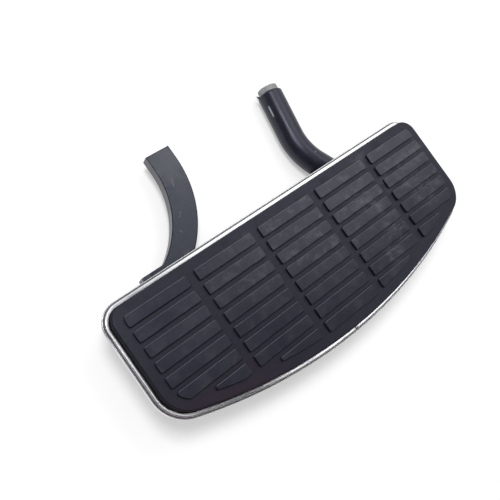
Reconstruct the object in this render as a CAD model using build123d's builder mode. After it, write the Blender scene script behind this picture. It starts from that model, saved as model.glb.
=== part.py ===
from build123d import *
from math import asin, cos, degrees, radians, sin
import os

# Folding rider floorboard for a motorcycle.
# A rubber tread pad sits in a pressed pan with a bright trim round its edge. Two arms, one of
# flat bar and one of round bar, carry the pan on two hinge pins that share one line.
# X runs along the board, +Y points at the motorcycle and +Z up. The origin is the centre of
# the top face of the middle tread block. All sizes are in millimetres.

os.makedirs("parts", exist_ok=True)

# Board outline, seen from above
deck_length = 326.0
inner_edge_y = 55.0
outer_edge_y = -68.0
curve_radius = 430.0
inner_corner_radius = 17.0
outer_corner_radius = 28.5

# Tread blocks
block_length = 54.5
block_width = 8.8
block_height = 2.2
block_corner_radius = 1.2
clipped_corner_radius = 1.65
block_edge_chamfer = 0.4
column_gap = 7.1
row_gap = 3.65
tread_columns = 5
tread_rows = 8
rows_above_middle = 3
tread_margin = 13.2
smallest_block_area = 60.0

# Bright trim
trim_crest_z = -10.4
trim_width = 4.8
trim_height = 5.2
trim_outer_radius = 3.1
trim_inner_radius = 1.6
trim_slot_inset = 1.35
trim_slot_depth = 2.6
trim_leg_relief = 1.0
trim_joint_x = -8.0
trim_joint_gap = 0.4

# Pressed pan
sheet = 2.0
pan_bend_radius = 1.0
lip_side_gap = 0.05
lip_top_gap = 0.05
trim_seat_gap = 0.1
bead_width = 14.0
bead_depth = 1.5
bead_wall = 1.2
bead_taper = 30.0
middle_bead_length = 90.0
middle_bead_ys = (14.0, -18.0)
end_bead_length = 42.0
end_bead_inset = 26.0
end_bead_y = 3.0

# Rubber pad
pad_edge_radius = 1.2
pad_side_gap = 0.1
pad_stud_radius = 4.0
pad_stud_head_radius = 6.5
pad_stud_head_height = 3.0
pad_stud_hole_gap = 0.2
pad_stud_head_chamfer = 1.2
pad_stud_edge_inset = 17.0
pad_stud_end_inset = 23.0
pad_stud_middle_spacing = 50.0
pad_stud_corner_rise = 38.0

# Hinge line and forks
pivot_y = 38.0
pivot_drop = 22.3
fork_end_inset = 72.5
fork_gap = 31.0
ear_thickness = 7.0
ear_radius = 9.5
web_setback = 15.0
fork_edge_radius = 1.0

# Flat arm
flat_web_thickness = 7.0
bar_thickness = 12.0
bar_width = 22.1
bar_offset = 58.5
bar_bend_reach = 67.0
bar_straight = 11.6
bar_root_outer_inset = 1.0
bar_root_inner_inset = 4.4
bar_root_fillet = 9.0
bar_edge_radius = 1.2

# Round arm
rod_radius = 11.4
rod_bend_offset = 13.24
rod_bend_reach = 40.13
rod_lean = 10.1
rod_straight = 47.0
rod_bend_radius = 52.0
rod_bend_angle = 38.0
rod_run_out = 26.0
rod_shoulder_radius = 2.0
spigot_radius = 9.2
spigot_length = 5.0
round_web_thickness = 4.0
round_web_depth = 14.0

# Hinge brackets and their dampers
damper_thickness = 3.0
plate_thickness = 5.0
plate_length = 74.0
plate_width = 46.0
plate_overhang = 4.0
plate_corner_radius = 6.0
plate_edge_radius = 1.5
lug_thickness = 6.0
lug_radius = 9.0
lug_neck = 14.5
heel_depth = 9.0
heel_top = 2.0
heel_gap = 0.3
cross_wall_thickness = 4.0
cross_wall_drop = 13.0
rib_thickness = 6.0
rib_length = 30.0

# Stop bumpers
bumper_length = 26.0
bumper_height = 5.0
bumper_thickness = 3.0
bumper_pocket_depth = 1.5
bumper_top = 0.5
bumper_side_gap = 0.05

# Hinge pins and what holds them
pin_radius = 5.0
pin_gap = 0.05
pin_head_radius = 7.5
pin_head_height = 3.0
pin_head_gap = 0.2
pin_end = 5.6
pin_chamfer = 0.8
pin_washer_radius = 9.0
pin_washer_thickness = 1.6
pin_washer_gap = 0.2
pin_washer_bore_gap = 0.1
split_pin_radius = 1.2
split_pin_gap = 0.1
split_pin_reach = 9.0
split_pin_eye_radius = 2.6
split_pin_leg_length = 4.0
split_pin_leg_radius = 0.9
split_pin_leg_angle = 40.0

# Flanged bushes
bush_wall = 1.45
bush_flange_thickness = 1.5
bush_flange_radius = 8.6
bush_fit_gap = 0.01
bush_end_gap = 0.3

# Return springs
wire_radius = 1.0
coil_radius = 7.3
coil_pitch = 2.4
coil_whole_turns = 3
coil_end_angle = 258.0
deck_leg_length = 24.0
arm_leg_length = 18.0

# Studs, washers and nuts
stud_radius = 4.0
stud_head_radius = 6.0
stud_fit_gap = 0.02
stud_end = 2.0
stud_hole_gap = 0.5
stud_half_spacing = 14.0
stud_setback = 23.0
stud_end_inset = 10.0
stud_washer_radius = 8.0
stud_washer_thickness = 1.6
stud_washer_gap = 0.3
nut_width = 13.0
nut_height = 6.5
nut_thread_gap = 0.03
nut_chamfer = 0.7

# Points nearer than this count as one place
same_place = 0.01

# Levels and places that follow from the sizes above
deck_depth = inner_edge_y - outer_edge_y
pad_stud_end_x = deck_length / 2 - pad_stud_end_inset
end_bead_x = deck_length / 2 - end_bead_inset
column_pitch = block_length + column_gap
row_pitch = block_width + row_gap
tread_middle_y = row_pitch * (rows_above_middle - (tread_rows - 1) / 2)
pad_border_z = -block_height
trim_bottom_z = trim_crest_z - trim_height
trim_slot_width = sheet + 2 * lip_side_gap
lip_inset = trim_slot_inset + lip_side_gap
lip_top_z = trim_bottom_z + trim_slot_depth - lip_top_gap
pan_floor_z = trim_bottom_z - trim_seat_gap
pan_bottom_z = pan_floor_z - sheet
pad_foot_inset = trim_width + pad_side_gap
pivot_z = pan_bottom_z - pivot_drop
fork_middle_x = deck_length / 2 - fork_end_inset
web_y = pivot_y + web_setback
flat_web_back_y = web_y + flat_web_thickness
round_web_back_y = web_y + round_web_thickness
bar_bend_y = flat_web_back_y + bar_bend_reach
bar_outer_x = bar_offset - fork_middle_x
bar_inner_x = bar_outer_x - bar_width
fork_inner_x = fork_middle_x - fork_gap / 2 - ear_thickness
fork_outer_x = fork_middle_x + fork_gap / 2 + ear_thickness
ear_inner_xs = (fork_inner_x, fork_outer_x - ear_thickness)
damper_bottom_z = pan_bottom_z - damper_thickness
plate_bottom_z = damper_bottom_z - plate_thickness
plate_end_y = pivot_y + plate_overhang
plate_middle_y = plate_end_y - plate_length / 2
bush_radius = pin_radius + bush_wall
lug_offset = fork_gap / 2 - bush_end_gap - bush_flange_thickness
lug_inner_xs = (fork_middle_x - lug_offset, fork_middle_x + lug_offset - lug_thickness)
stud_places = [
    (x, y)
    for x in (fork_middle_x - stud_half_spacing, fork_middle_x + stud_half_spacing)
    for y in (pivot_y - stud_setback, plate_end_y - plate_length + stud_end_inset)
]
washer_top_z = plate_bottom_z
nut_top_z = washer_top_z - stud_washer_thickness
rod_z = pivot_z + bar_thickness / 2 - rod_radius
rod_bend_place = (fork_middle_x - rod_bend_offset, round_web_back_y + rod_bend_reach, rod_z)
split_pin_x = fork_inner_x - pin_washer_gap - pin_washer_thickness - split_pin_radius - split_pin_gap


def pad_stud_places():
    """Where the pad's studs pass through the pan: along both edges and at the four corners."""
    inner_y = inner_edge_y - pad_stud_edge_inset
    outer_y = outer_edge_y + pad_stud_edge_inset
    corners = [(side * pad_stud_end_x, inner_y) for side in (-1, 1)]
    corners += [(side * pad_stud_end_x, outer_edge_y + pad_stud_corner_rise) for side in (-1, 1)]
    return corners + [(0, inner_y)] + [(side * pad_stud_middle_spacing, outer_y) for side in (-1, 0, 1)]


def save(piece, name):
    """Label a finished piece and write its file."""
    piece.part.label = name
    export_step(piece.part, f"parts/{name}.step")


def deck_outline(inset):
    """The board's outline: straight inner edge and ends, curved outer edge, round corners."""
    with BuildSketch() as outline:
        with Locations((0, outer_edge_y + curve_radius)):
            Circle(curve_radius - inset)
        with Locations((0, inner_edge_y - inset - deck_depth)):
            Rectangle(deck_length - 2 * inset, 2 * deck_depth, mode=Mode.INTERSECT)
        fillet(outline.vertices().group_by(Axis.Y)[-1], inner_corner_radius - inset)
        fillet(outline.vertices().group_by(Axis.Y)[0], outer_corner_radius - inset)
    return outline.sketch


def tread_blocks():
    """The grid of tread blocks, clipped by the outline a margin inside the board's edge."""
    with BuildSketch() as grid:
        with Locations((0, tread_middle_y)):
            with GridLocations(column_pitch, row_pitch, tread_columns, tread_rows):
                Rectangle(block_length, block_width)
        add(deck_outline(tread_margin), mode=Mode.INTERSECT)
    whole_area = block_length * block_width
    whole = grid.faces().filter_by(lambda face: face.area > whole_area - same_place)
    clipped = grid.faces().filter_by(lambda face: smallest_block_area < face.area < whole_area - same_place)
    with BuildSketch() as blocks:
        for faces, radius in ((whole, block_corner_radius), (clipped, clipped_corner_radius)):
            with BuildSketch(mode=Mode.PRIVATE) as rounded:
                add(faces)
                offset(amount=-radius, mode=Mode.REPLACE)
                offset(amount=radius, mode=Mode.REPLACE)
            add(rounded.sketch)
    return blocks.sketch


def tread_pad():
    """Rubber pad: slab, tread blocks, and pull-through studs with mushroom heads."""
    with BuildPart() as pad:
        with BuildSketch(Plane.XY.offset(pan_floor_z)):
            add(deck_outline(pad_foot_inset))
        extrude(amount=pad_border_z - pan_floor_z)
        fillet(pad.edges().group_by(Axis.Z)[-1], pad_edge_radius)
        with BuildSketch(Plane.XY.offset(pad_border_z)):
            add(tread_blocks())
        extrude(amount=block_height)
        chamfer(pad.edges().group_by(Axis.Z)[-1], block_edge_chamfer)
        with BuildSketch(Plane.XY.offset(pan_floor_z)):
            with Locations(*pad_stud_places()):
                Circle(pad_stud_radius)
        extrude(amount=-sheet)
        with BuildSketch(Plane.XY.offset(pan_bottom_z)):
            with Locations(*pad_stud_places()):
                Circle(pad_stud_head_radius)
        extrude(amount=-pad_stud_head_height)
        chamfer(pad.edges().group_by(Axis.Z)[0], pad_stud_head_chamfer)
    return pad


def deck_pan():
    """Pressed pan: floor, turned-up lip, pressed stiffening beads and holes."""
    bead_places = [(Location((0, y)), middle_bead_length) for y in middle_bead_ys]
    bead_places += [(Location((x, end_bead_y), 90), end_bead_length) for x in (-end_bead_x, end_bead_x)]
    with BuildPart() as pan:
        with BuildSketch(Plane.XY.offset(pan_bottom_z)):
            add(deck_outline(lip_inset))
        extrude(amount=lip_top_z - pan_bottom_z)
        fillet(pan.edges().group_by(Axis.Z)[0], sheet + pan_bend_radius)
        with BuildSketch(Plane.XY.offset(pan_floor_z)):
            add(deck_outline(lip_inset + sheet))
        extrude(amount=lip_top_z - pan_floor_z, mode=Mode.SUBTRACT)
        fillet(pan.edges().filter_by_position(Axis.Z, pan_floor_z, pan_floor_z), pan_bend_radius)
        for place, length in bead_places:
            with BuildSketch(Plane.XY.offset(pan_bottom_z)):
                with Locations(place):
                    SlotOverall(length, bead_width)
            extrude(amount=-bead_depth, taper=bead_taper)
            with BuildSketch(Plane.XY.offset(pan_floor_z)):
                with Locations(place):
                    SlotOverall(length - 2 * bead_wall, bead_width - 2 * bead_wall)
            extrude(amount=-bead_depth, taper=bead_taper, mode=Mode.SUBTRACT)
        with BuildSketch(Plane.XY.offset(pan_bottom_z)):
            with Locations(*pad_stud_places()):
                Circle(pad_stud_radius + pad_stud_hole_gap)
            for side in (-1, 1):
                with Locations(*[(side * x, y) for x, y in stud_places]):
                    Circle(stud_head_radius + stud_fit_gap)
        extrude(amount=sheet, mode=Mode.SUBTRACT)
    return pan


def edge_trim():
    """Bright strip round the edge: a rounded top over a slot that grips the pan's lip."""
    with BuildPart() as trim:
        with BuildSketch(Plane.XY.offset(trim_bottom_z)):
            add(deck_outline(0))
        extrude(amount=trim_height)
        fillet(trim.edges().group_by(Axis.Z)[-1], trim_outer_radius)
        with BuildSketch(Plane.XY.offset(trim_bottom_z)):
            add(deck_outline(trim_width))
        extrude(amount=trim_height, mode=Mode.SUBTRACT)
        inner_edges = trim.faces().group_by(Axis.Z)[-1].face().inner_wires()[0].edges()
        fillet(inner_edges, trim_inner_radius)
        with BuildSketch(Plane.XY.offset(trim_bottom_z)):
            add(deck_outline(trim_slot_inset))
            add(deck_outline(trim_slot_inset + trim_slot_width), mode=Mode.SUBTRACT)
        extrude(amount=trim_slot_depth, mode=Mode.SUBTRACT)
        with BuildSketch(Plane.XY.offset(trim_bottom_z)):
            add(deck_outline(trim_slot_inset))
        extrude(amount=trim_leg_relief, mode=Mode.SUBTRACT)
        with BuildSketch(Plane.XY.offset(trim_bottom_z)):
            with Locations((trim_joint_x, outer_edge_y)):
                Rectangle(trim_joint_gap, 3 * trim_width)
        extrude(amount=trim_height, mode=Mode.SUBTRACT)
    return trim


def hinge_fork(side, web_thickness, web_depth):
    """Two ears and the web that joins them, with their top level with the flat bar's."""
    web_top_z = pivot_z + bar_thickness / 2
    web_height = bar_thickness / 2 + web_depth
    with BuildPart() as fork:
        for ear_x in ear_inner_xs:
            with BuildSketch(Plane.YZ.offset(side * ear_x)):
                with Locations((pivot_y, pivot_z)):
                    Circle(ear_radius)
                with Locations((web_y + web_thickness / 2, web_top_z - web_height / 2)):
                    Rectangle(web_thickness, web_height)
                make_hull()
            extrude(amount=side * ear_thickness)
        with BuildSketch(Plane.XY.offset(web_top_z - web_height)):
            with Locations((side * fork_middle_x, web_y + web_thickness / 2)):
                Rectangle(fork_outer_x - fork_inner_x, web_thickness)
        extrude(amount=web_height)
        sides = fork.faces().filter_by(Axis.X).sort_by(Axis.X)
        fillet(sides[0].edges() + sides[-1].edges(), fork_edge_radius)
    return fork


def fork_cuts(side):
    """What is cut from a fork: the pin's holes and the bumper's pocket."""
    with BuildPart() as cuts:
        with BuildSketch(Plane.YZ.offset(side * fork_inner_x)):
            with Locations((pivot_y, pivot_z)):
                Circle(pin_radius + pin_gap)
        extrude(amount=side * (fork_outer_x - fork_inner_x))
        with BuildSketch(Plane.XZ.offset(-web_y)):
            with Locations((side * fork_middle_x, pivot_z - bumper_top - bumper_height / 2)):
                Rectangle(bumper_length + 2 * bumper_side_gap, bumper_height + 2 * bumper_side_gap)
        extrude(amount=-bumper_pocket_depth)
    return cuts


def flat_arm():
    """Arm of flat bar: straight at the tip, then bent in its plane into the fork's web."""
    tip_y = bar_bend_y + bar_straight
    outer_root = (-fork_inner_x - bar_root_outer_inset, web_y)
    inner_root = (bar_root_inner_inset - fork_outer_x, web_y)
    with BuildPart() as arm:
        with BuildSketch(Plane.XY.offset(pivot_z - bar_thickness / 2)) as bar:
            with BuildLine():
                outer = TangentArc((bar_outer_x, bar_bend_y), outer_root, tangent=(0, -1))
                inner = TangentArc((bar_inner_x, bar_bend_y), inner_root, tangent=(0, -1))
                Polyline(inner @ 0, (bar_inner_x, tip_y), (bar_outer_x, tip_y), outer @ 0)
                Line(inner @ 1, outer @ 1)
            make_face()
            with Locations((-fork_middle_x, web_y + flat_web_thickness / 2)):
                Rectangle(fork_outer_x - fork_inner_x, flat_web_thickness)
            root = bar.vertices().filter_by(lambda corner: abs(corner.Y - flat_web_back_y) < same_place)
            fillet(root.sort_by(Axis.X)[-1], bar_root_fillet)
        extrude(amount=bar_thickness)
        long_edges = arm.edges().filter_by_position(Axis.Y, flat_web_back_y + bar_root_fillet, tip_y)
        fillet(long_edges.filter_by(Axis.Z, reverse=True), bar_edge_radius)
        add(hinge_fork(-1, flat_web_thickness, bar_thickness / 2).part)
        add(fork_cuts(-1).part, mode=Mode.SUBTRACT)
    return arm


def round_arm():
    """Arm of round bar: stepped stub, leaning straight run, bend, and the fork it ends in."""
    lean = radians(rod_lean)
    along = Vector(-sin(lean), -cos(lean))
    bend_start = Vector(*rod_bend_place)
    tip = bend_start - along * rod_straight
    shoulder = tip + along * spigot_length
    with BuildPart() as arm:
        with BuildLine() as path:
            run = Line(shoulder, bend_start)
            bend = JernArc(run @ 1, run % 1, rod_bend_radius, rod_bend_angle)
            Line(bend @ 1, bend @ 1 + (bend % 1) * rod_run_out)
        with BuildSketch(Plane(origin=shoulder, z_dir=along)):
            Circle(rod_radius)
        sweep(path=path.wire())
        fillet(arm.faces().sort_by(Axis.Y)[-1].edges(), rod_shoulder_radius)
        with BuildSketch(Plane(origin=tip, z_dir=along)):
            Circle(spigot_radius)
        extrude(amount=spigot_length)
        split(bisect_by=Plane.XZ.offset(-web_y), keep=Keep.BOTTOM)
        add(hinge_fork(1, round_web_thickness, round_web_depth).part)
        add(fork_cuts(1).part, mode=Mode.SUBTRACT)
    return arm


def hinge_bracket(side):
    """Bracket under the pan: plate, two lugs with stop heels, cross wall and rib."""
    heel_y = web_y - (bumper_thickness - bumper_pocket_depth) - heel_gap
    with BuildPart() as bracket:
        with BuildSketch(Plane.XY.offset(plate_bottom_z)):
            with Locations((side * fork_middle_x, plate_middle_y)):
                RectangleRounded(plate_width, plate_length, plate_corner_radius)
        extrude(amount=plate_thickness)
        fillet(bracket.edges().group_by(Axis.Z)[0], plate_edge_radius)
        for lug_x in lug_inner_xs:
            with BuildSketch(Plane.YZ.offset(side * lug_x)):
                with BuildLine():
                    Polyline(
                        (pivot_y - lug_neck, plate_bottom_z),
                        (pivot_y + plate_overhang, plate_bottom_z),
                        (pivot_y + lug_radius, pivot_z),
                        (pivot_y, pivot_z - lug_radius),
                        (pivot_y - lug_radius, pivot_z),
                        close=True,
                    )
                make_face()
                with Locations((pivot_y, pivot_z)):
                    Circle(lug_radius)
                with Locations(((pivot_y + heel_y) / 2, pivot_z - (heel_top + heel_depth) / 2)):
                    Rectangle(heel_y - pivot_y, heel_depth - heel_top)
            extrude(amount=side * lug_thickness)
        wall_y = pivot_y - lug_neck
        with BuildSketch(Plane.XY.offset(plate_bottom_z - cross_wall_drop)):
            with Locations((side * fork_middle_x, wall_y + cross_wall_thickness / 2)):
                Rectangle(2 * lug_offset, cross_wall_thickness)
        extrude(amount=cross_wall_drop)
        with BuildSketch(Plane.YZ.offset(side * fork_middle_x)):
            with BuildLine():
                Polyline(
                    (wall_y, plate_bottom_z),
                    (wall_y, plate_bottom_z - cross_wall_drop),
                    (wall_y - rib_length, plate_bottom_z),
                    close=True,
                )
            make_face()
        extrude(amount=rib_thickness / 2, both=True)
        with BuildSketch(Plane.YZ.offset(side * (fork_middle_x - lug_offset))):
            with Locations((pivot_y, pivot_z)):
                Circle(bush_radius + bush_fit_gap)
        extrude(amount=side * 2 * lug_offset, mode=Mode.SUBTRACT)
        with BuildSketch(Plane.XY.offset(plate_bottom_z)):
            with Locations(*[(side * x, y) for x, y in stud_places]):
                Circle(stud_radius + stud_hole_gap)
        extrude(amount=plate_thickness, mode=Mode.SUBTRACT)
    return bracket


def bracket_damper(side):
    """Rubber sheet between the pan and a bracket."""
    with BuildPart() as damper:
        with BuildSketch(Plane.XY.offset(damper_bottom_z)):
            with Locations((side * fork_middle_x, plate_middle_y)):
                RectangleRounded(plate_width, plate_length, plate_corner_radius)
            with Locations(*[(side * x, y) for x, y in stud_places]):
                Circle(stud_radius + stud_hole_gap, mode=Mode.SUBTRACT)
        extrude(amount=damper_thickness)
    return damper


def stop_bumper(side):
    """Rubber strip in the web's pocket that the bracket's heels rest on."""
    with BuildPart() as bumper:
        with BuildSketch(Plane.XZ.offset(-web_y - bumper_pocket_depth)):
            with Locations((side * fork_middle_x, pivot_z - bumper_top - bumper_height / 2)):
                Rectangle(bumper_length, bumper_height)
        extrude(amount=bumper_thickness)
        fillet(bumper.faces().sort_by(Axis.Y)[0].edges(), bumper_thickness / 4)
    return bumper


def pivot_pin(side):
    """Headed hinge pin with a cross hole at its far end."""
    head_x = fork_outer_x + pin_head_gap
    end_x = split_pin_x - pin_end
    with BuildPart() as pin:
        with BuildSketch(Plane.YZ.offset(side * end_x)):
            with Locations((pivot_y, pivot_z)):
                Circle(pin_radius)
        extrude(amount=side * (head_x - end_x))
        with BuildSketch(Plane.YZ.offset(side * head_x)):
            with Locations((pivot_y, pivot_z)):
                Circle(pin_head_radius)
        extrude(amount=side * pin_head_height)
        ends = pin.faces().filter_by(Axis.X).sort_by(Axis.X)
        chamfer(ends[0].edges() + ends[-1].edges(), pin_chamfer)
        with BuildSketch(Plane.XY.offset(pivot_z - pin_radius)):
            with Locations((side * split_pin_x, pivot_y)):
                Circle(split_pin_radius + split_pin_gap)
        extrude(amount=2 * pin_radius, mode=Mode.SUBTRACT)
    return pin


def pin_washer(side):
    """Plain washer between the fork and the split pin."""
    with BuildPart() as washer:
        with BuildSketch(Plane.YZ.offset(side * (fork_inner_x - pin_washer_gap))):
            with Locations((pivot_y, pivot_z)):
                Circle(pin_washer_radius)
                Circle(pin_radius + pin_washer_bore_gap, mode=Mode.SUBTRACT)
        extrude(amount=-side * pin_washer_thickness)
    return washer


def split_pin(side):
    """Split pin: eye above the hinge pin, shank through it, legs bent apart below."""
    eye_z = pivot_z + split_pin_reach
    foot_z = pivot_z - split_pin_reach
    shank_x = side * split_pin_x
    with BuildPart() as cotter:
        with BuildSketch(Plane.XY.offset(foot_z)):
            with Locations((shank_x, pivot_y)):
                Circle(split_pin_radius)
        extrude(amount=eye_z - foot_z - split_pin_eye_radius)
        with Locations(Location((shank_x, pivot_y, eye_z), (0, 90, 0))):
            Torus(split_pin_eye_radius, split_pin_radius)
        for bend in (-split_pin_leg_angle, split_pin_leg_angle):
            leg = Vector(0, sin(radians(bend)), -cos(radians(bend)))
            with BuildSketch(Plane(origin=(shank_x, pivot_y, foot_z), z_dir=leg)):
                Circle(split_pin_leg_radius)
            extrude(amount=split_pin_leg_length)
    return cotter


def pivot_bushes(side):
    """A flanged bush in each lug, with its flange towards the ear."""
    outer_faces = (lug_inner_xs[0], lug_inner_xs[1] + lug_thickness)
    with BuildPart() as bushes:
        for lug_x, face_x, outward in zip(lug_inner_xs, outer_faces, (-side, side)):
            with BuildSketch(Plane.YZ.offset(side * lug_x)):
                with Locations((pivot_y, pivot_z)):
                    Circle(bush_radius)
                    Circle(pin_radius + pin_gap, mode=Mode.SUBTRACT)
            extrude(amount=side * lug_thickness)
            with BuildSketch(Plane.YZ.offset(side * face_x)):
                with Locations((pivot_y, pivot_z)):
                    Circle(bush_flange_radius)
                    Circle(pin_radius + pin_gap, mode=Mode.SUBTRACT)
            extrude(amount=outward * bush_flange_thickness)
    return bushes


def return_spring(side):
    """Torsion spring round the pin: one leg up to the pan's floor, one over the web."""
    turns = coil_whole_turns + coil_end_angle / 360
    height = turns * coil_pitch
    start = (side * (fork_middle_x - height / 2), pivot_y, pivot_z)
    with BuildPart() as coil:
        with BuildLine() as path:
            Helix(coil_pitch, height, coil_radius, lefthand=side < 0)
        wire = path.edge()
        with BuildSketch(Plane(origin=wire @ 0, z_dir=wire % 0)):
            Circle(wire_radius)
        sweep(path=wire, is_frenet=True)
        with BuildSketch(Plane(origin=wire @ 0, z_dir=-(wire % 0))):
            Circle(wire_radius)
        extrude(amount=arm_leg_length)
        with BuildSketch(Plane(origin=wire @ 1, z_dir=wire % 1)):
            Circle(wire_radius)
        extrude(amount=deck_leg_length)
    with BuildPart() as spring:
        with Locations(Plane(origin=start, x_dir=(0, 0, 1), z_dir=(side, 0, 0)).location):
            add(coil.part)
    return spring


def bracket_studs(side):
    """Four studs with flat heads flush in the pan's floor."""
    stud_length = pan_bottom_z - (nut_top_z - nut_height - stud_end)
    with BuildPart() as studs:
        with BuildSketch(Plane.XY.offset(pan_floor_z)):
            with Locations(*[(side * x, y) for x, y in stud_places]):
                Circle(stud_head_radius)
        extrude(amount=-sheet)
        with BuildSketch(Plane.XY.offset(pan_bottom_z)):
            with Locations(*[(side * x, y) for x, y in stud_places]):
                Circle(stud_radius)
        extrude(amount=-stud_length)
        chamfer(studs.edges().group_by(Axis.Z)[0], pin_chamfer)
    return studs


def bracket_washers(side):
    """Plain washers under the nuts."""
    with BuildPart() as washers:
        with BuildSketch(Plane.XY.offset(washer_top_z)):
            with Locations(*[(side * x, y) for x, y in stud_places]):
                Circle(stud_washer_radius)
                Circle(stud_radius + stud_washer_gap, mode=Mode.SUBTRACT)
        extrude(amount=-stud_washer_thickness)
    return washers


def bracket_nuts(side):
    """Hexagon nuts with their corners chamfered off."""
    with BuildPart() as nuts:
        with BuildSketch(Plane.XY.offset(nut_top_z)):
            with Locations(*[(side * x, y) for x, y in stud_places]):
                RegularPolygon(nut_width / 2, 6, major_radius=False)
        extrude(amount=-nut_height)
        chamfer(nuts.edges().group_by(Axis.Z)[0], nut_chamfer)
        with BuildSketch(Plane.XY.offset(nut_top_z)):
            with Locations(*[(side * x, y) for x, y in stud_places]):
                Circle(stud_radius + nut_thread_gap)
        extrude(amount=-nut_height, mode=Mode.SUBTRACT)
    return nuts


save(tread_pad(), "tread_pad")
save(deck_pan(), "deck_pan")
save(edge_trim(), "edge_trim")
save(flat_arm(), "flat_arm")
save(round_arm(), "round_arm")

hinge_pieces = {
    "hinge_bracket": hinge_bracket,
    "bracket_damper": bracket_damper,
    "stop_bumper": stop_bumper,
    "pivot_pin": pivot_pin,
    "pin_washer": pin_washer,
    "split_pin": split_pin,
    "pivot_bushes": pivot_bushes,
    "return_spring": return_spring,
    "bracket_studs": bracket_studs,
    "bracket_washers": bracket_washers,
    "bracket_nuts": bracket_nuts,
}
for arm_name, side in (("flat", -1), ("round", 1)):
    for piece_name, make_piece in hinge_pieces.items():
        save(make_piece(side), f"{arm_name}_{piece_name}")
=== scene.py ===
import math

import bmesh
import bpy
from mathutils import Matrix, Vector


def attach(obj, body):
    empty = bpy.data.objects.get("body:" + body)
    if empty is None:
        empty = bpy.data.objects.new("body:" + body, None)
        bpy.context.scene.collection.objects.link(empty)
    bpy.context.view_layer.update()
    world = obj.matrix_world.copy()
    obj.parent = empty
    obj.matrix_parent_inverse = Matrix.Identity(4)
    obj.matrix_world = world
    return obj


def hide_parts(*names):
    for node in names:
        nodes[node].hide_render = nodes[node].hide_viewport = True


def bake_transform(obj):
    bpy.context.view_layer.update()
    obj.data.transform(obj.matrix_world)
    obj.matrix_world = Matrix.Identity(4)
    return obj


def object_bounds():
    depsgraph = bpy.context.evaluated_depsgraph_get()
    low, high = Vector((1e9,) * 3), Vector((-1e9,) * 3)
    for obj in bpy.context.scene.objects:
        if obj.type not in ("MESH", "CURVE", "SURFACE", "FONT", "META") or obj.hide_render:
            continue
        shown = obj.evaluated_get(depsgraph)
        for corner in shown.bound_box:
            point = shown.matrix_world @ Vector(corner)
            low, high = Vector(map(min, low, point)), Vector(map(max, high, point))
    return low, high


# Looks for the folding motorcycle floorboard, in metres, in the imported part's frame:
# X runs along the board, +Y points at the motorcycle and +Z is up, out of the tread.

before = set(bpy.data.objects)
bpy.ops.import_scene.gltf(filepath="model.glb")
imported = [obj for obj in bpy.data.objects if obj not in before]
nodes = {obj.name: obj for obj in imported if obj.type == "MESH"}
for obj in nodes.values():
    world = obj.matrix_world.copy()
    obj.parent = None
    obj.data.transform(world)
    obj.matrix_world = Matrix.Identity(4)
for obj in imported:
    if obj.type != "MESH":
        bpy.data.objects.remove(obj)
cad_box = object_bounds()

X_WAY = (1, 0, 0)
Y_WAY = (0, 1, 0)
Z_WAY = (0, 0, 1)

# Camera, as the photograph's perspective gives it
CAMERA_PLACE = Vector((-0.2543, 0.0151, 0.4313))
CAMERA_RIGHT = Vector((0.7422, -0.5762, 0.3423))
CAMERA_FORWARD = Vector((0.4396, 0.0330, -0.8976))
CAMERA_LENS = 46.73
CAMERA_SENSOR = 36.0
CAMERA_NEAREST = 0.01

# Surroundings
FLOOR_GAP = 0.0006
FLOOR_SIZE = 12.0
FLOOR_COLOUR = (0.82, 0.82, 0.82)
FLOOR_ROUGHNESS = 0.85
FLOOR_GLOW = 0.38
WORLD_FILL = 0.36
LAMPS = (
    # name, place, aimed at, width, height, watts
    ("side_lamp", (0.72, 0.36, 1.05), (0.72, 0.36, 0), 0.9, 0.7, 3.2),
    ("top_lamp", (-0.22, 0.33, 1.08), (0, 0.05, 0), 0.36, 0.30, 6.4),
)
# Up for lamps and cards, a hair off the vertical because some of them point straight down
ALMOST_UP = Vector((0, 0.0001, 1))

# What bright metal and gloss paint reflect: plain cards, and thin bright strips for the trim
BLACK = (0.02, 0.02, 0.025)
DARK = (0.10, 0.10, 0.11)
GREY = (0.40, 0.40, 0.45)
RED = (0.60, 0.12, 0.14)
CARD_ROUGHNESS = 0.9
CARDS = (
    # name, place, aimed at, width, height, colour
    ("near_ceiling_card", (0.13, 0.095, 1.06), (0.13, 0.095, 0), 0.76, 0.27, GREY),
    ("far_ceiling_card", (-0.78, 0.91, 1.06), (-0.78, 0.91, 0), 1.5, 1.38, GREY),
    ("left_ceiling_card", (-0.88, -0.64, 1.06), (-0.88, -0.64, 0), 1.26, 1.72, DARK),
    ("front_ceiling_card", (0.68, -0.775, 1.06), (0.68, -0.775, 0), 1.86, 1.47, DARK),
    ("far_left_card", (-1.5, 0.9, 0.53), (0, 0.9, 0.53), 1.4, 1.05, GREY),
    ("left_card", (-1.5, -0.65, 0.53), (0, -0.65, 0.53), 1.7, 1.05, DARK),
    ("front_card", (0.0, -1.5, 0.53), (0.0, 0, 0.53), 3.0, 1.05, DARK),
    ("back_card", (0.6, 1.8, 0.62), (0.6, 0, 0.62), 3.6, 0.35, GREY),
    ("low_right_card", (1.8, -0.7, 0.03), (0, -0.7, 0.03), 2.0, 0.16, BLACK),
    ("red_corner_card", (-0.8, -0.9, 0.22), (0, 0, 0.22), 0.9, 0.44, RED),
)
STRIPS = (
    # name, place, aimed at, width, height, strength
    ("end_strip", (0.05, -0.10, 1.05), (0.05, -0.10, 0), 0.07, 0.50, 1.8),
    ("edge_strip", (0.85, -0.25, 1.05), (0.85, -0.25, 0), 1.00, 0.10, 3.2),
)

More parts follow.
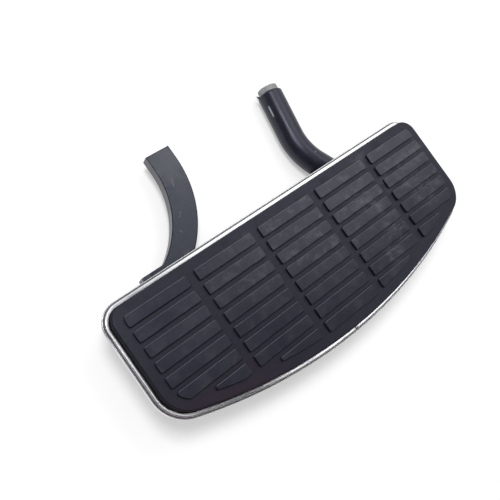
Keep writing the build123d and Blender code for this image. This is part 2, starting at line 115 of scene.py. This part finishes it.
# Tread: how far its blocks stand over the pad, and its colours. The first of two is the
# darker, or the left end's, which lacks the painted sheen that grows to the right.
BLOCK_HEIGHT = 0.0022
BLOCK_COLOURS = ((0.008, 0.007, 0.016), (0.021, 0.021, 0.031))
GRAIN_COLOUR = (0.030, 0.030, 0.038)
# painted sheen with some dust, on the block tops towards the right and the motorcycle
SHEEN_AND_DUST_COLOUR = (0.068, 0.068, 0.082)
BLOTCH_COLOUR = (0.100, 0.103, 0.116)
# painted highlight on the blocks' long top edges that face the motorcycle
EDGE_HIGHLIGHT_COLOUR = (0.13, 0.14, 0.165)
VALLEY_COLOURS = ((0.012, 0.011, 0.019), (0.021, 0.020, 0.031))
# painted red reflection in the valleys at the front left
VALLEY_RED_REFLECTION_COLOUR = (0.024, 0.012, 0.021)
# Where its looks change: from x to x as it turns greyer to the right with painted sheen, and
# from y to y as it gets painted sheen and dust towards the motorcycle and a painted red
# reflection away from it
GREYER_X = (-0.16, 0.08)
SHEEN_AND_DUST_Y = (-0.035, 0.028)
REDDER_Y = (-0.05, -0.01)
# The way that the blocks' long edges with a painted highlight face
HIGHLIGHT_EDGE_WAY = (0, 0.7071, 0.7071)
# Dusty scuffs: place along and across the board, radius, strength
SCUFFS = (
    (0.066, 0.014, 0.016, 0.5),
    (0.073, 0.001, 0.014, 0.45),
    (0.097, 0.014, 0.012, 0.35),
    (0.090, 0.041, 0.016, 0.3),
    (0.077, -0.023, 0.018, 0.5),
    (0.061, -0.038, 0.014, 0.6),
    (0.147, 0.021, 0.014, 0.35),
    (0.124, 0.016, 0.020, 0.3),
    (0.128, -0.010, 0.022, 0.4),
    (0.008, 0.012, 0.018, 0.3),
    (-0.037, 0.036, 0.018, 0.2),
)
SCUFF_COLOUR = (0.16, 0.165, 0.18)

# The trim's outline, as the part gives it, and the section of its band: a thin rolled bead
# along the outer shoulder, a groove in near-black painted shade, a rounded side and a flat crest,
# with the slot for the pan's lip. Its ends are dressed down a little where they meet.
END_X = 0.163
INNER_EDGE_Y = 0.055
OUTER_EDGE_Y = -0.068
CURVE_RADIUS = 0.430
INNER_CORNER = 0.017
OUTER_CORNER = 0.0285
TRIM_JOINT_X = -0.002
TRIM_JOINT_GAP = 0.0004
TRIM_STEP = 0.0015
TRIM_CREST_Z = -0.0104
TRIM_WIDTH = 0.0048
TRIM_FOOT = -0.0052
TRIM_LEG_FOOT = -0.0042
TRIM_SLOT = (0.00135, 0.00345)
TRIM_SLOT_TOP = -0.0026
TRIM_ARCS = (
    # middle's inset and height over the crest, radius, start and end in degrees, points
    (0.0004, -0.0022, 0.0004, 180, 60, 6),
    (0.0023, -0.0008, 0.0008, 152, 90, 8),
    (0.00405, -0.00075, 0.00075, 90, 0, 7),
)
GROOVE_SIDE = (0.0015, -0.0016)
JOINT_ROUNDING = 0.0016
JOINT_DIP = 0.0005
SHARP_TURN = 0.6

# Its colours, and the painted dark reflections on its crest and flanks along the straight edge,
# which starts at a y
TRIM_COLOURS = ((0.74, 0.74, 0.77), (0.88, 0.88, 0.90))
STRAIGHT_CREST_DARK_REFLECTION = (0.60, 0.60, 0.63)
STRAIGHT_FLANK_DARK_REFLECTION = (0.34, 0.34, 0.36)
STRAIGHT_EDGE_Y = (0.02, 0.045)
# painted shade in the trim's groove
GROOVE_SHADE_COLOURS = ((0.035, 0.035, 0.04), (0.13, 0.13, 0.135))

# Paint and rubber
# blue tint for the reflections of rubber and paint, a painted colour of the sky's light
SKY_TINT = (0.80, 0.85, 1.0)
PAINT_SPECK_COLOUR = (0.22, 0.22, 0.22)
# painted shade, for the tread's walls and the flat arm's rounded edges
PAINTED_SHADE_COLOUR = (0.002, 0.002, 0.003)
BRACKET_COLOUR = (0.020, 0.020, 0.021)

# Flat arm: its paint, its thin gritty side painted lighter as a reflection of the floor, and the
# dust that starts at a y. Its scratches are on its top face: x and y of one end, x and y of the
# other, half the width.
FLAT_ARM_COLOUR = (0.007, 0.008, 0.013)
ARM_SIDE_GRIT_AND_REFLECTION_COLOUR = (0.17, 0.175, 0.18)
ARM_DUST_COLOUR = (0.066, 0.066, 0.074)
ARM_DUST_Y = (0.075, 0.14)
SCRATCH_COLOUR = (0.20, 0.21, 0.23)
ARM_TOP_Z = -0.034
ARM_SCRATCHES = (
    ((-0.0461, 0.1152), (-0.0492, 0.1068), 0.0004),
    ((-0.0560, 0.0880), (-0.0606, 0.0838), 0.0003),
    ((-0.0668, 0.0766), (-0.0648, 0.0722), 0.0003),
)

# Round arm: the middle of its end face, the way that it points, its paint with a painted glint
# and a chip, and the bare steel of its end behind a ragged edge of paint
ROD_TIP = Vector((0.0855, 0.1434, -0.0454))
ROD_LEAN = math.radians(10.1)
ROD_DIRECTION = Vector((math.sin(ROD_LEAN), math.cos(ROD_LEAN), 0))
SPIGOT_LENGTH = 0.005
ROD_COLOUR = (0.013, 0.013, 0.021)
# blue tint for the rod's reflections, a painted colour of the sky's light
ROD_TINT = (0.80, 0.83, 1.0)
# painted glint: a light streak along the rod
ROD_GLINT = Vector((0.0715, 0.1225, -0.0401))
ROD_GLINT_REACH = 0.0062
ROD_GLINT_HALF_WIDTH = 0.0012
ROD_CHIP = Vector((0.0808, 0.0710, -0.0341))
ROD_CHIP_RADIUS = 0.0009
ROD_GLINT_AND_CHIP_COLOUR = (0.45, 0.45, 0.48)
ROD_STEEL_COLOURS = ((0.23, 0.228, 0.235), (0.44, 0.436, 0.44))
PAINT_RAGGEDNESS = 0.0016
PAINT_EDGE = (0.0004, 0.0014)

# Whiskers of torn paint at the round arm's end: root, tips, radius at the root, sway
BURR_ROOT = Vector((0.0738, 0.1386, -0.0453))
BURR_TIPS = (
    Vector((0.0701, 0.1424, -0.0450)),
    Vector((0.0716, 0.1420, -0.0444)),
    Vector((0.0708, 0.1402, -0.0457)),
)
BURR_RADIUS = 0.00055
BURR_SIDES = 10
BURR_SWAY = 0.12
BURR_WAVES = 3
BURR_RINGS = ((0.0, 1.0), (0.35, 0.85), (0.7, 0.5), (1.0, 0.08))  # share of the run, of the radius

# Return springs: the material's name, colour, roughness
SPRING_METAL = ("spring_wire", (0.26, 0.26, 0.27), 0.3)

# Rubber and metal pieces of each hinge: the material's name, colour, roughness
HINGE_RUBBERS = {
    "bracket_damper": ("damper_rubber", (0.016, 0.016, 0.016), 0.7),
    "stop_bumper": ("bumper_rubber", (0.013, 0.013, 0.014), 0.6),
}
HINGE_METALS = {
    "pivot_pin": ("pin_zinc", (0.62, 0.62, 0.63), 0.26),
    "pin_washer": ("washer_zinc", (0.64, 0.64, 0.65), 0.3),
    "split_pin": ("split_pin_wire", (0.56, 0.56, 0.56), 0.35),
    "pivot_bushes": ("bush_bronze", (0.55, 0.38, 0.18), 0.3),
    "bracket_studs": ("stud_zinc", (0.60, 0.60, 0.61), 0.28),
    "bracket_washers": ("plate_washer_zinc", (0.64, 0.64, 0.65), 0.3),
    "bracket_nuts": ("nut_zinc", (0.62, 0.61, 0.58), 0.27),
}


class Nodes:
    """One material's node tree, with short calls for the nodes that the looks are made of."""

    def __init__(self, name):
        self.material = bpy.data.materials.new(name)
        self.material.use_nodes = True
        self.tree = self.material.node_tree
        self.shader = self.tree.nodes["Principled BSDF"]
        self.place = self.make("ShaderNodeTexCoord")

    def make(self, kind, **settings):
        """A new node with these settings."""
        node = self.tree.nodes.new(kind)
        for key, value in settings.items():
            setattr(node, key, value)
        return node

    def put(self, socket, value):
        """Link a socket's value, or set it where it is a constant."""
        if isinstance(value, bpy.types.NodeSocket):
            self.tree.links.new(value, socket)
        elif isinstance(value, tuple) and len(value) == 3 and socket.type == "RGBA":
            socket.default_value = (*value, 1)
        else:
            socket.default_value = value

    def math(self, operation, *values):
        """The result of a Math node."""
        node = self.make("ShaderNodeMath", operation=operation)
        for socket, value in zip(node.inputs, values):
            self.put(socket, value)
        return node.outputs[0]

    def times(self, first, second):
        """One value times another."""
        return self.math("MULTIPLY", first, second)

    def noise(self, scale, detail=3, roughness=0.5, stretch=(1, 1, 1)):
        """Noise in the part's own coordinates, about 0.5 on average."""
        mapping = self.make("ShaderNodeMapping")
        mapping.inputs["Scale"].default_value = stretch
        self.put(mapping.inputs["Vector"], self.place.outputs["Object"])
        node = self.make("ShaderNodeTexNoise")
        self.put(node.inputs["Vector"], mapping.outputs[0])
        self.put(node.inputs["Scale"], scale)
        self.put(node.inputs["Detail"], detail)
        self.put(node.inputs["Roughness"], roughness)
        return node.outputs["Fac"]

    def ramp(self, value, low, high, to_low=0.0, to_high=1.0):
        """A smooth step of value from low to high, written out between to_low and to_high."""
        node = self.make("ShaderNodeMapRange", interpolation_type="SMOOTHSTEP", clamp=True)
        for socket, item in zip(node.inputs, (value, low, high, to_low, to_high)):
            self.put(socket, item)
        return node.outputs[0]

    def fall(self, value, low, high):
        """A smooth step of value from low to high, written out as 1 falling to 0."""
        return self.ramp(value, low, high, 1.0, 0.0)

    def mix(self, share, first, second):
        """The first colour, and a share of the second over it."""
        node = self.make("ShaderNodeMix", data_type="RGBA", clamp_factor=True)
        self.put(node.inputs["Factor"], share)
        colours = [socket for socket in node.inputs if socket.type == "RGBA"]
        self.put(colours[0], first)
        self.put(colours[1], second)
        return [socket for socket in node.outputs if socket.type == "RGBA"][0]

    def measure(self, operation, source, vector):
        """What an operation gives for the surface's place or normal and a fixed vector."""
        node = self.make("ShaderNodeVectorMath", operation=operation)
        self.put(node.inputs[0], self.place.outputs[source])
        self.put(node.inputs[1], tuple(vector))
        return node.outputs["Value"]

    def along(self, direction):
        """How far a point of the part lies along a direction from the origin."""
        return self.measure("DOT_PRODUCT", "Object", direction)

    def facing(self, direction):
        """How far the surface faces a direction, from -1 to 1."""
        return self.measure("DOT_PRODUCT", "Normal", direction)

    def away(self, point):
        """How far a point of the part lies from another."""
        return self.measure("DISTANCE", "Object", point)

    def near(self, point, radius):
        """1 at a point, falling smoothly to 0 at a radius."""
        return self.fall(self.away(point), 0.0, radius)

    def stroke(self, start, end, half_width):
        """1 along a straight mark, falling to 0 at its sides and ends."""
        middle, run = (start + end) / 2, (end - start) / 2
        way = run.normalized()
        along = self.math("SUBTRACT", self.along(way), middle.dot(way))
        square = self.math("POWER", self.away(middle), 2.0)
        across = self.math("SQRT", self.math("SUBTRACT", square, self.times(along, along)))
        side = self.fall(across, 0.2 * half_width, half_width)
        reach = self.math("ABSOLUTE", along)
        return self.times(side, self.fall(reach, 0.6 * run.length, run.length))

    def bump(self, height, strength, distance):
        """The surface's normal, tilted as a height would tilt it."""
        node = self.make("ShaderNodeBump")
        self.put(node.inputs["Height"], height)
        self.put(node.inputs["Strength"], strength)
        self.put(node.inputs["Distance"], distance)
        return node.outputs["Normal"]

    def finish(self, **values):
        """Set the shader's own sockets, by their names with spaces as underscores."""
        for key, value in values.items():
            self.put(self.shader.inputs[key.replace("_", " ")], value)
        return self.material


def rubber_tread():
    """Black rubber: dark between the blocks, greyer on their worn tops, with dusty scuffs;
    painted sheen to the right and towards the motorcycle, a painted highlight on the long
    edges facing it, painted shade on the walls and a painted red reflection at the front left.
    """
    m = Nodes("tread_rubber")
    top = m.ramp(m.along(Z_WAY), -0.9 * BLOCK_HEIGHT, -0.1 * BLOCK_HEIGHT)
    grain = m.noise(1500, detail=2)
    blotches = m.ramp(m.noise(75, detail=6, roughness=0.72), 0.48, 0.66)
    right = m.ramp(m.along(X_WAY), *GREYER_X)
    # Painted sheen and dust, growing to the right and towards the motorcycle; the worn blotches
    # follow it
    toward_motorcycle = m.times(right, m.ramp(m.along(Y_WAY), *SHEEN_AND_DUST_Y, 0.15, 1.0))
    # A painted highlight on the blocks' chamfers that face the motorcycle
    edge_highlight = m.ramp(m.facing(HIGHLIGHT_EDGE_WAY), 0.85, 0.97)
    block_top_colour = m.mix(m.ramp(m.noise(22, detail=4, roughness=0.6), 0.35, 0.65), *BLOCK_COLOURS)
    block_top_colour = m.mix(m.ramp(grain, 0.45, 0.75, 0.0, 0.3), block_top_colour, GRAIN_COLOUR)
    block_top_colour = m.mix(m.times(toward_motorcycle, 0.7), block_top_colour, SHEEN_AND_DUST_COLOUR)
    block_top_colour = m.mix(m.times(blotches, m.ramp(toward_motorcycle, 0.0, 0.8, 0.12, 0.9)), block_top_colour, BLOTCH_COLOUR)
    block_top_colour = m.mix(m.times(edge_highlight, 0.8), block_top_colour, EDGE_HIGHLIGHT_COLOUR)
    # A painted red reflection in the valleys towards the front left
    reddish = m.times(m.ramp(m.along(Y_WAY), *REDDER_Y, 0.8, 0.0), m.fall(right, 0.0, 0.5))
    # The valleys turn lighter to the right as painted sheen
    valley = m.mix(reddish, m.mix(right, *VALLEY_COLOURS), VALLEY_RED_REFLECTION_COLOUR)
    colour = m.mix(top, valley, block_top_colour)
    streaks = m.ramp(m.noise(110, detail=6, roughness=0.75, stretch=(1, 1.8, 1)), 0.44, 0.66)
    for x, y, radius, strength in SCUFFS:
        scuff = m.times(m.near((x, y, 0), radius), streaks)
        colour = m.mix(m.times(scuff, strength), colour, SCUFF_COLOUR)
    # Painted shade on the blocks' walls and the pad's rounded border, which are also made rougher
    wall_shade = m.times(m.fall(m.facing(Z_WAY), 0.35, 0.9), m.math("SUBTRACT", 1.0, edge_highlight))
    relief = m.math("ADD", m.times(grain, 0.5), m.noise(420, detail=3))
    rough = m.math("MAXIMUM", m.ramp(blotches, 0.0, 1.0, 0.40, 0.56), m.times(wall_shade, 0.85))
    return m.finish(
        Base_Color=m.mix(wall_shade, colour, PAINTED_SHADE_COLOUR),
        Roughness=rough,
        Specular_IOR_Level=0.27,
        Specular_Tint=SKY_TINT,
        Normal=m.bump(relief, 0.35, 0.0003),
    )


def plain_rubber(name, colour, roughness):
    """Plain rubber sheet with a fine moulded grain."""
    m = Nodes(name)
    grain = m.noise(900, detail=3)
    pale = tuple(2.0 * part for part in colour)
    return m.finish(
        Base_Color=m.mix(m.ramp(grain, 0.4, 0.8, 0.0, 0.5), colour, pale),
        Roughness=roughness,
        Normal=m.bump(grain, 0.3, 0.0003),
    )


def bright_strip():
    """Bright polished strip with faint cloudy rubbing, and painted dark reflections on its crest
    and flanks along the straight edge.
    """
    m = Nodes("polished_trim")
    cloud = m.noise(40, detail=2, roughness=0.6)
    straight = m.ramp(m.along(Y_WAY), *STRAIGHT_EDGE_Y)
    flank = m.fall(m.facing(Z_WAY), 0.75, 0.98)
    colour = m.mix(m.ramp(cloud, 0.35, 0.7), *TRIM_COLOURS)
    # Painted dark reflections on the crest and flanks along the straight edge
    colour = m.mix(m.times(straight, 0.7), colour, STRAIGHT_CREST_DARK_REFLECTION)
    colour = m.mix(m.times(straight, flank), colour, STRAIGHT_FLANK_DARK_REFLECTION)
    return m.finish(
        Base_Color=colour,
        Metallic=1.0,
        Roughness=m.ramp(m.noise(60, detail=2), 0.3, 0.75, 0.18, 0.24),
        Normal=m.bump(cloud, 0.003, 0.0006),
    )


def groove_painted_shade():
    """Painted shade in the trim's groove, near-black and mottled."""
    m = Nodes("trim_groove_painted_shade")
    groove_mottle = m.noise(500, detail=4, roughness=0.7)
    return m.finish(
        Base_Color=m.mix(m.ramp(groove_mottle, 0.4, 0.75), *GROOVE_SHADE_COLOURS),
        Roughness=m.ramp(groove_mottle, 0.3, 0.7, 0.45, 0.65),
        Normal=m.bump(groove_mottle, 0.2, 0.0003),
    )


def black_paint(name, colour, roughness, ripple, dust):
    """Black paint: slight ripple of the sprayed coat, fine dust, and roughness that drifts.

    It gives the node tree, and the colour, roughness and normal to finish it with.
    """
    m = Nodes(name)
    cloud = m.noise(35, detail=4, roughness=0.6)
    specks = m.ramp(m.noise(1700, detail=3, roughness=0.7), 0.62, 0.75, 0.0, dust)
    faded = tuple(1.7 * part for part in colour)
    base = m.mix(m.ramp(cloud, 0.35, 0.7), colour, faded)
    rough = m.ramp(cloud, 0.3, 0.7, roughness, 1.5 * roughness)
    normal = m.bump(m.noise(240, detail=2), ripple, 0.0008)
    return m, m.mix(specks, base, PAINT_SPECK_COLOUR), rough, normal


def flat_arm_paint():
    """Satin black on the flat bar: gritty and painted lighter as a floor reflection on one side,
    painted shade on its rounded edges, dusty at its end.
    """
    m, colour, rough, normal = black_paint("flat_arm_black", FLAT_ARM_COLOUR, 0.22, 0.08, 0.25)
    gritty = m.ramp(m.noise(1300, detail=4, roughness=0.75), 0.42, 0.7, 0.15, 0.9)
    # The side facing -X gets a painted reflection of the floor, mixed with real grit
    side = m.times(m.ramp(m.facing((-1, 0, 0)), 0.6, 0.9), gritty)
    colour = m.mix(side, colour, ARM_SIDE_GRIT_AND_REFLECTION_COLOUR)
    # Painted shade, standing for a dark reflection, on the rounded edges between its top and sides
    level = m.facing(Z_WAY)
    edge = m.times(m.fall(level, 0.90, 0.985), m.ramp(level, 0.15, 0.4))
    colour = m.mix(edge, colour, PAINTED_SHADE_COLOUR)
    toward_motorcycle = m.ramp(m.along(Y_WAY), *ARM_DUST_Y, 0.0, 0.8)
    dust = m.times(toward_motorcycle, m.ramp(m.noise(60, detail=4), 0.25, 0.6))
    colour = m.mix(dust, colour, ARM_DUST_COLOUR)
    for start, end, half_width in ARM_SCRATCHES:
        mark = m.stroke(Vector((*start, ARM_TOP_Z)), Vector((*end, ARM_TOP_Z)), half_width)
        colour = m.mix(m.times(mark, 0.6), colour, SCRATCH_COLOUR)
    return m.finish(
        Base_Color=colour,
        Roughness=m.math("MAXIMUM", rough, m.times(edge, 0.8)),
        Normal=normal,
        Specular_Tint=SKY_TINT,
    )


def round_arm_paint():
    """Gloss black on the round bar, with a painted glint and a chip; its thin end is bare and
    rough.
    """
    m, colour, rough, normal = black_paint("round_arm_black", ROD_COLOUR, 0.25, 0.08, 0.2)
    # A painted glint along the rod, and a real chip, in one light colour
    half_glint = ROD_GLINT_REACH * ROD_DIRECTION
    glint = m.stroke(ROD_GLINT + half_glint, ROD_GLINT - half_glint, ROD_GLINT_HALF_WIDTH)
    chip = m.near(ROD_CHIP, ROD_CHIP_RADIUS)
    colour = m.mix(m.times(m.math("MAXIMUM", glint, chip), 0.85), colour, ROD_GLINT_AND_CHIP_COLOUR)
    shoulder = ROD_TIP.dot(ROD_DIRECTION) - SPIGOT_LENGTH
    torn = m.times(m.noise(500, detail=4), PAINT_RAGGEDNESS)
    reach = m.math("ADD", m.along(ROD_DIRECTION), torn)
    bare = m.ramp(reach, shoulder + PAINT_EDGE[0], shoulder + PAINT_EDGE[1])
    crust = m.noise(700, detail=5, roughness=0.7)
    steel = m.mix(m.ramp(crust, 0.35, 0.65), *ROD_STEEL_COLOURS)
    return m.finish(
        Base_Color=m.mix(bare, colour, steel),
        Roughness=m.ramp(bare, 0.0, 1.0, rough, 0.7),
        Metallic=m.times(bare, 0.2),
        Specular_IOR_Level=0.42,
        Specular_Tint=ROD_TINT,
        Normal=normal,
    )


def bracket_paint(name):
    """Satin black on the pressed and cast pieces under the board."""
    m, colour, rough, normal = black_paint(name, BRACKET_COLOUR, 0.36, 0.3, 0.3)
    return m.finish(Base_Color=colour, Roughness=rough, Normal=normal)


def plated_steel(name, colour, roughness):
    """Plated or bare metal: cloudy, with fine turning lines."""
    m = Nodes(name)
    cloud = m.noise(160, detail=4, roughness=0.65)
    lines = m.noise(2600, detail=1)
    dull = tuple(0.7 * part for part in colour)
    return m.finish(
        Base_Color=m.mix(m.ramp(cloud, 0.35, 0.7), dull, colour),
        Metallic=1.0,
        Roughness=m.ramp(cloud, 0.3, 0.7, roughness, 1.6 * roughness),
        Normal=m.bump(lines, 0.15, 0.0002),
    )


def add_object(name, data):
    """A new object in the scene, around a mesh, a lamp's data or a camera's."""
    added = bpy.data.objects.new(name, data)
    bpy.context.scene.collection.objects.link(added)
    return added


def arc(middle, radius, start, end, step):
    """Points along an arc, no further apart than a step, each with the way to its middle."""
    count = max(2, math.ceil(abs(end - start) * radius / step) + 1)
    points = []
    for i in range(count):
        angle = start + (end - start) * i / (count - 1)
        out = Vector((math.cos(angle), math.sin(angle)))
        points.append((Vector(middle) + radius * out, -out))
    return points


def edge_path(step):
    """The board's outline from the trim's joint round to it: points and their ways inward."""
    curve_y = OUTER_EDGE_Y + CURVE_RADIUS
    corner_x = END_X - OUTER_CORNER
    corner_y = curve_y - math.sqrt((CURVE_RADIUS - OUTER_CORNER) ** 2 - corner_x**2)
    slope = math.atan2(corner_y - curve_y, corner_x)
    inner = (END_X - INNER_CORNER, INNER_EDGE_Y - INNER_CORNER)
    turn = math.pi
    from_joint = -math.acos((TRIM_JOINT_X + TRIM_JOINT_GAP / 2) / CURVE_RADIUS)
    to_joint = -math.acos((TRIM_JOINT_X - TRIM_JOINT_GAP / 2) / CURVE_RADIUS)
    path = arc((0, curve_y), CURVE_RADIUS, from_joint, slope, step)
    path += arc((corner_x, corner_y), OUTER_CORNER, slope, 0, step)[1:]
    path += arc(inner, INNER_CORNER, 0, turn / 2, step)
    path += arc((-inner[0], inner[1]), INNER_CORNER, turn / 2, turn, step)
    path += arc((-corner_x, corner_y), OUTER_CORNER, turn, turn - slope, step)
    path += arc((0, curve_y), CURVE_RADIUS, -turn - slope, to_joint, step)[1:]
    return path


def trim_section():
    """The trim's section as insets and heights over the crest, and which side is its groove."""
    section = [(0, TRIM_FOOT)]
    for inset, height, radius, start, end, count in TRIM_ARCS:
        for i in range(count):
            angle = math.radians(start + (end - start) * i / (count - 1))
            section.append((inset + radius * math.cos(angle), height + radius * math.sin(angle)))
    groove = TRIM_ARCS[0][-1]
    section.insert(groove + 1, GROOVE_SIDE)
    near, far = TRIM_SLOT
    section += [(TRIM_WIDTH, TRIM_LEG_FOOT), (far, TRIM_LEG_FOOT), (far, TRIM_SLOT_TOP)]
    return section + [(near, TRIM_SLOT_TOP), (near, TRIM_FOOT)], groove


def skin(name, rings, look, other_look=None, other_side=None):
    """A closed mesh through rings of points, capped at both ends. One side may look different."""
    mesh = bpy.data.meshes.new(name)
    shape = bmesh.new()
    loops = [[shape.verts.new(point) for point in ring] for ring in rings]
    sides = len(loops[0])
    for near, far in zip(loops, loops[1:]):
        for k in range(sides):
            after = (k + 1) % sides
            face = shape.faces.new((near[k], near[after], far[after], far[k]))
            face.material_index = int(k == other_side)
    shape.faces.new(loops[0])
    shape.faces.new(list(reversed(loops[-1])))
    bmesh.ops.recalc_face_normals(shape, faces=shape.faces[:])
    for face in shape.faces:
        face.smooth = True
    for edge in shape.edges:
        edge.smooth = edge.calc_face_angle(0) < SHARP_TURN
    shape.to_mesh(mesh)
    shape.free()
    mesh.materials.append(look)
    if other_look:
        mesh.materials.append(other_look)
    return add_object(name, mesh)


def trim_band(look, groove_shade_look):
    """The bright trim with its rolled bead and its groove in painted shade, in one strip with a
    butt joint.
    """
    section, groove = trim_section()
    path = edge_path(TRIM_STEP)
    rings = []
    for point, inward in path:
        away = min((point - path[0][0]).length, (point - path[-1][0]).length)
        dip = JOINT_DIP * max(0.0, 1 - away / JOINT_ROUNDING) ** 2
        ring = []
        for inset, height in section:
            top = TRIM_CREST_Z + (min(height, -dip) if height > TRIM_SLOT_TOP else height)
            ring.append((point + inset * inward).to_3d() + Vector((0, 0, top)))
        rings.append(ring)
    band = skin("trim_band", rings, look, groove_shade_look, groove)
    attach(band, "deck")
    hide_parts("edge_trim")


def paint_whiskers(look):
    """Thin pointed whiskers where the paint tore off the round arm's end."""
    turns = [2 * math.pi * k / BURR_SIDES for k in range(BURR_SIDES)]
    for number, tip in enumerate(BURR_TIPS, 1):
        run = tip - BURR_ROOT
        side = run.cross(Vector(Z_WAY)).normalized()
        up = side.cross(run.normalized())
        rings = []
        for share, size in BURR_RINGS:
            sway = BURR_SWAY * math.sin(BURR_WAVES * share + number) * run.length * share
            middle = BURR_ROOT + share * run + sway * up
            outs = [math.cos(a) * side + math.sin(a) * up for a in turns]
            rings.append([middle + size * BURR_RADIUS * out for out in outs])
        whisker = skin(f"paint_whisker_{number}", rings, look)
        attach(whisker, "round_arm_side")


def dress(mesh, look):
    """Give a mesh its one material."""
    mesh.materials.clear()
    mesh.materials.append(look)


def bending_spring(arm, look):
    """An arm's return spring: a copy of the part's spring mesh in its own material, shown in place
    of the part's.
    """
    node = f"{arm}_return_spring"
    spring = add_object(f"{arm}_wound_spring", nodes[node].data.copy())
    dress(spring.data, look)
    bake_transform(spring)
    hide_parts(node)


def standing(place, forward, right):
    """The matrix of a camera, lamp or card that looks forward from a place."""
    turn = Matrix((right, right.cross(forward), -forward)).transposed().to_4x4()
    return Matrix.Translation(place) @ turn


def aimed(place, target):
    """The matrix of a lamp or card that looks from a place to a target."""
    forward = (Vector(target) - Vector(place)).normalized()
    return standing(place, forward, forward.cross(ALMOST_UP).normalized())


def set_up_camera():
    """The photograph's camera."""
    data = bpy.data.cameras.new("camera")
    data.lens = CAMERA_LENS
    data.sensor_width = CAMERA_SENSOR
    data.clip_start = CAMERA_NEAREST
    camera = add_object("camera", data)
    forward = CAMERA_FORWARD.normalized()
    right = (CAMERA_RIGHT - forward * CAMERA_RIGHT.dot(forward)).normalized()
    camera.matrix_world = standing(CAMERA_PLACE, forward, right)
    bpy.context.scene.camera = camera


def set_up_lamps():
    """The soft lamps that give the object's light and its shadow."""
    for name, place, target, width, height, watts in LAMPS:
        data = bpy.data.lights.new(name, "AREA")
        data.shape = "RECTANGLE"
        data.size, data.size_y, data.energy = width, height, watts
        add_object(name, data).matrix_world = aimed(place, target)


def seen_directly(tree):
    """1 where the camera, a reflection or a pane of glass sees a surface, and 0 for its light."""
    path = tree.nodes.new("ShaderNodeLightPath")
    share = path.outputs["Is Camera Ray"]
    for name in ("Is Glossy Ray", "Is Transmission Ray"):
        join = tree.nodes.new("ShaderNodeMath")
        join.operation = "MAXIMUM"
        tree.links.new(share, join.inputs[0])
        tree.links.new(path.outputs[name], join.inputs[1])
        share = join.outputs[0]
    return share


def set_up_world():
    """White where it is seen, and a plain soft fill where it lights."""
    world = bpy.data.worlds.new("studio")
    bpy.context.scene.world = world
    world.use_nodes = True
    tree = world.node_tree
    strength = tree.nodes.new("ShaderNodeMapRange")
    strength.inputs["To Min"].default_value = WORLD_FILL
    strength.inputs["To Max"].default_value = 1.0
    tree.links.new(seen_directly(tree), strength.inputs["Value"])
    tree.links.new(strength.outputs["Result"], tree.nodes["Background"].inputs["Strength"])
    tree.nodes["Background"].inputs["Color"].default_value = (1, 1, 1, 1)


def flat_panel(name, width, height, look):
    """A rectangle about its own origin, for the floor or a card."""
    mesh = bpy.data.meshes.new(name)
    corners = [(-width, -height), (width, -height), (width, height), (-width, height)]
    mesh.from_pydata([(x / 2, y / 2, 0) for x, y in corners], [], [(0, 1, 2, 3)])
    mesh.materials.append(look)
    return add_object(name, mesh)


def hang_card(name, place, target, width, height, look):
    """A flat card that only shows in reflections."""
    card = flat_panel(name, width, height, look)
    card.matrix_world = aimed(place, target)
    card.visible_camera = card.visible_diffuse = card.visible_shadow = False


def set_up_cards():
    """The room that bright metal and gloss paint reflect: greys above, dark at two sides."""
    for *card, colour in CARDS:
        look = Nodes(card[0]).finish(Base_Color=colour, Roughness=CARD_ROUGHNESS)
        hang_card(*card, look)


def set_up_strips():
    """The thin bright lines that the polished trim reflects."""
    for *strip, strength in STRIPS:
        look = Nodes(strip[0]).finish(
            Base_Color=(0.0, 0.0, 0.0),
            Emission_Color=(1.0, 1.0, 1.0),
            Emission_Strength=strength,
        )
        hang_card(*strip, look)


def set_up_floor():
    """A pale floor just under the lowest piece, white where it is seen and in no shadow."""
    m = Nodes("pale_floor")
    look = m.finish(
        Base_Color=FLOOR_COLOUR,
        Roughness=FLOOR_ROUGHNESS,
        Emission_Color=(1.0, 1.0, 1.0),
        Emission_Strength=m.times(seen_directly(m.tree), FLOOR_GLOW),
    )
    floor = flat_panel("floor", FLOOR_SIZE, FLOOR_SIZE, look)
    floor.location.z = cad_box[0][2] - FLOOR_GAP


dress(nodes["tread_pad"].data, rubber_tread())
dress(nodes["deck_pan"].data, bracket_paint("pan_black"))
trim_band(bright_strip(), groove_painted_shade())
dress(nodes["flat_arm"].data, flat_arm_paint())
round_look = round_arm_paint()
dress(nodes["round_arm"].data, round_look)
paint_whiskers(round_look)

hinge_looks = {"hinge_bracket": bracket_paint("bracket_black")}
for piece, rubber in HINGE_RUBBERS.items():
    hinge_looks[piece] = plain_rubber(*rubber)
for piece, metal in HINGE_METALS.items():
    hinge_looks[piece] = plated_steel(*metal)
spring_look = plated_steel(*SPRING_METAL)
for arm in ("flat", "round"):
    for piece, look in hinge_looks.items():
        dress(nodes[f"{arm}_{piece}"].data, look)
    bending_spring(arm, spring_look)

set_up_camera()
set_up_lamps()
set_up_world()
set_up_cards()
set_up_strips()
set_up_floor()
bpy.context.scene.view_settings.view_transform = "Standard"
